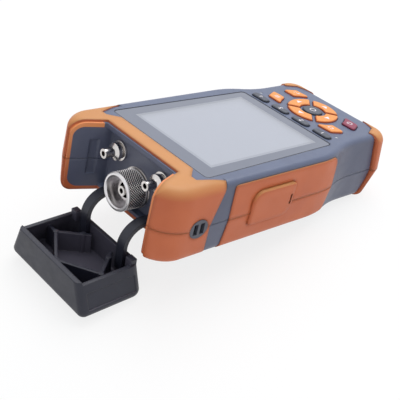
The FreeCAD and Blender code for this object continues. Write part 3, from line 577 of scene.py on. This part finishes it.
rows = nut_rows()
nut_points = []
nut_cuts = []
for radius, depth, row in rows:
    for i in range(around):
        cut = 1 - min(saw((i + row) / knurl_steps), saw((i - row) / knurl_steps)) if row else 0
        reach = radius - knurl_depth * cut
        angle = 2 * math.pi * i / around
        x = nut_centre.x + reach * math.cos(angle)
        z = nut_centre.z + reach * math.sin(angle)
        nut_points.append((x, nut_low.y + depth, z))
        nut_cuts.append(cut)
nut_faces = []
plain_faces = []
for j in range(len(rows)):
    k = (j + 1) % len(rows)
    plain = rows[j][2] == 0 or rows[k][2] == 0
    for i in range(around):
        beside = (i + 1) % around
        nut_faces.append((j * around + i, j * around + beside, k * around + beside, k * around + i))
        plain_faces.append(plain)
nut = piece("nut", nut_points, nut_faces, knurled_nickel())
turned = plated("turned nickel", linear(232, 230, 232), linear(220, 217, 218),
                roughness=0.3, edge=0.00015)
nut.data.materials.append(turned)
for face, plain in zip(nut.data.polygons, plain_faces):
    face.material_index = int(plain)
    face.use_smooth = plain
nut.data.set_sharp_from_angle(angle=true_edge)
nut.data.attributes.new("groove", "FLOAT", "POINT").data.foreach_set("value", nut_cuts)
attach(nut, "nut")
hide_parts("knurled_nut")


# Held inside and hardly seen: circuit boards, battery, reflectometer module, light parts
# and sockets. Plain bought parts in plated steel, lacquered board and black plastic,
# screwed or soldered down.
steel = moulded("plated steel", linear(150, 150, 152), linear(136, 136, 140), roughness=0.35,
                grain=0.0006, depth=0.00001, edge=0.0002, patch=0.004, metallic=1.0)
finish(steel, "data_socket", "reflectometer_module", "photodiode", "laser_can")
lacquer = moulded("green lacquer", linear(24, 92, 58), linear(18, 78, 48),
                  roughness=0.4, grain=0.0008, depth=0.00001)
finish(lacquer, "main_board", "socket_board")
plastic = moulded("black plastic", linear(30, 30, 34), linear(24, 24, 28),
                  roughness=0.4, grain=0.0006, depth=0.00002)
finish(plastic, "charging_socket", "battery_pack")


# Case screws: six plated pan heads, driven from the back into bosses of the upper shell.
# Each head is sunk in a counterbore and has a cross recess for the driver, drawn as a flat
# dark cross of painted shade.
screw_rows = ((0.0330, -0.0400), (0.0330, 0.0150), (0.0295, 0.0660))
cross_half = 0.0014
cross_arm = 0.0003
cross_rise = 0.00003
finish(steel, "case_screws")
screws_low, screws_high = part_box("case_screws")
cross_points = []
cross_faces = []
for x, y in screw_rows:
    for centre in (x, -x):
        for long, wide in ((cross_half, cross_arm), (cross_arm, cross_half)):
            first = len(cross_points)
            for right, up in ((1, 1), (1, -1), (-1, -1), (-1, 1)):
                cross_points.append((centre + right * long, y + up * wide, screws_low.z - cross_rise))
            cross_faces.append(tuple(range(first, first + 4)))
# Painted shade: the cross recess is a flat dark cross just under each head.
recess_shade = moulded("painted recess shade", linear(38, 38, 40), linear(30, 30, 32),
                     roughness=0.5, grain=0.0004, depth=0.00002)
crosses = piece("screw_crosses", cross_points, cross_faces, recess_shade)
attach(crosses, "main")


# Socket cover: a flap of the same orange rubber that closes the sockets in the right grip.
# Its front edge is the hinge; a nail slot near the rear edge opens it.
finish(orange, "socket_cover")


# Cap straps: two bands of black rubber that come out of the port wall and carry the cap.
# They are one moulding with it.
straps = ("cap_strap_left", "cap_strap_right")
black = moulded("black rubber", linear(35, 37, 50), linear(30, 32, 44),
                roughness=0.45, grain=0.0006, depth=0.00003, edge=0.0004)
finish(black, *straps)
for name in straps:
    strap = stand_in(name, "_bent")
    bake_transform(strap)
    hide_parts(name)


# Dust cap: a ribbed box of black rubber that closes the port end, in one moulding with its
# straps. Its inner faces are painted paler, as painted light in the shaded inside of the cap.
cap_low, cap_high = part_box("dust_cap")
inner_light_blur = 0.002


def cap_rubber():
    """Black rubber with painted light: paler where a face looks towards the middle of the cap."""
    material = moulded("cap rubber", linear(33, 35, 50), linear(28, 30, 44),
                       roughness=0.45, grain=0.0006, depth=0.00003, edge=0.0008)
    tree = material.node_tree
    place = tree.nodes.new("ShaderNodeTexCoord")
    from_middle = tree.nodes.new("ShaderNodeVectorMath")
    from_middle.operation = "SUBTRACT"
    from_middle.inputs[1].default_value = (cap_low + cap_high) / 2
    tree.links.new(place.outputs["Object"], from_middle.inputs[0])
    facing = tree.nodes.new("ShaderNodeVectorMath")
    facing.operation = "DOT_PRODUCT"
    tree.links.new(from_middle.outputs["Vector"], facing.inputs[0])
    tree.links.new(place.outputs["Normal"], facing.inputs[1])
    inward = spread(tree, facing.outputs["Value"], -inner_light_blur, inner_light_blur, 1, 0)
    painted(material, inward, linear(73, 71, 84))
    return material


finish(cap_rubber(), "dust_cap")


# Table and light: a pale table that the meter leans on with its cap and its rear edge, and
# one large soft lamp overhead. What the camera sees of the table is nearly white, with a
# faint shadow.
rear_foot = 0.0700
table_gap = 0.0005
table_size = 6
seen_white = 0.8
room_light = 0.68
lamp_place = Vector((-0.15, 0.25, 0.9))
lamp_size = 0.9
lamp_power = 7
scene = bpy.context.scene
scene.view_settings.view_transform = "Standard"
shell_low, shell_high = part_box("lower_shell")
floor_rear = Vector((0, rear_foot, shell_low.z))
cap_node = nodes["dust_cap"]
cap_points = [cap_node.matrix_world @ vertex.co for vertex in cap_node.data.vertices]
lean = max(math.atan2(floor_rear.z - point.z, floor_rear.y - point.y) for point in cap_points)
table_place = floor_rear - Vector((0, 0, table_gap))
bpy.ops.mesh.primitive_plane_add(size=table_size, location=table_place, rotation=(lean, 0, 0))
floor = bpy.context.object
floor.name = "floor"


def seen(tree):
    """1 for rays from the camera and their mirror images, 0 for light between surfaces."""
    path = tree.nodes.new("ShaderNodeLightPath")
    rays = path.outputs
    mirrored = combined(tree, "MAXIMUM", rays["Is Glossy Ray"], rays["Is Transmission Ray"])
    return combined(tree, "MAXIMUM", rays["Is Camera Ray"], mirrored)


pale = bpy.data.materials.new("pale table")
pale.use_nodes = True
tree = pale.node_tree
surface = tree.nodes["Principled BSDF"]
surface.inputs["Base Color"].default_value = (0.9, 0.9, 0.9, 1)
surface.inputs["Roughness"].default_value = 0.8
white = tree.nodes.new("ShaderNodeEmission")
mix = tree.nodes.new("ShaderNodeMixShader")
tree.links.new(spread(tree, seen(tree), 0, 1, 0, seen_white), mix.inputs["Fac"])
tree.links.new(surface.outputs["BSDF"], mix.inputs[1])
tree.links.new(white.outputs["Emission"], mix.inputs[2])
tree.links.new(mix.outputs["Shader"], tree.nodes["Material Output"].inputs["Surface"])
floor.data.materials.append(pale)

world = bpy.data.worlds.new("world")
scene.world = world
world.use_nodes = True
tree = world.node_tree
background = tree.nodes["Background"]
background.inputs["Color"].default_value = (0.97, 0.98, 1.0, 1)
tree.links.new(spread(tree, seen(tree), 0, 1, room_light, 1), background.inputs["Strength"])

lamp = bpy.data.lights.new("top light", "AREA")
lamp.size = lamp_size
lamp.energy = lamp_power
holder = bpy.data.objects.new("top light", lamp)
holder.location = lamp_place
holder.rotation_euler = (-lamp_place).to_track_quat("-Z", "Y").to_euler()
scene.collection.objects.link(holder)


# Camera: close above the right front corner and rolled a little, as the photograph was
# taken, with a short portrait lens.
camera_place = Vector((0.23180, -0.27880, 0.19397))
camera_look = Vector((-0.57626, 0.65467, -0.48921))
camera_roll = math.radians(13.62)
lens = bpy.data.cameras.new("camera")
lens.sensor_width = 36
lens.lens = 70.93
lens.clip_start = 0.01
camera = bpy.data.objects.new("camera", lens)
turn = camera_look.to_track_quat("-Z", "Y") @ Quaternion((0, 0, 1), camera_roll)
camera.matrix_world = Matrix.Translation(camera_place) @ turn.to_matrix().to_4x4()
scene.collection.objects.link(camera)
scene.camera = camera
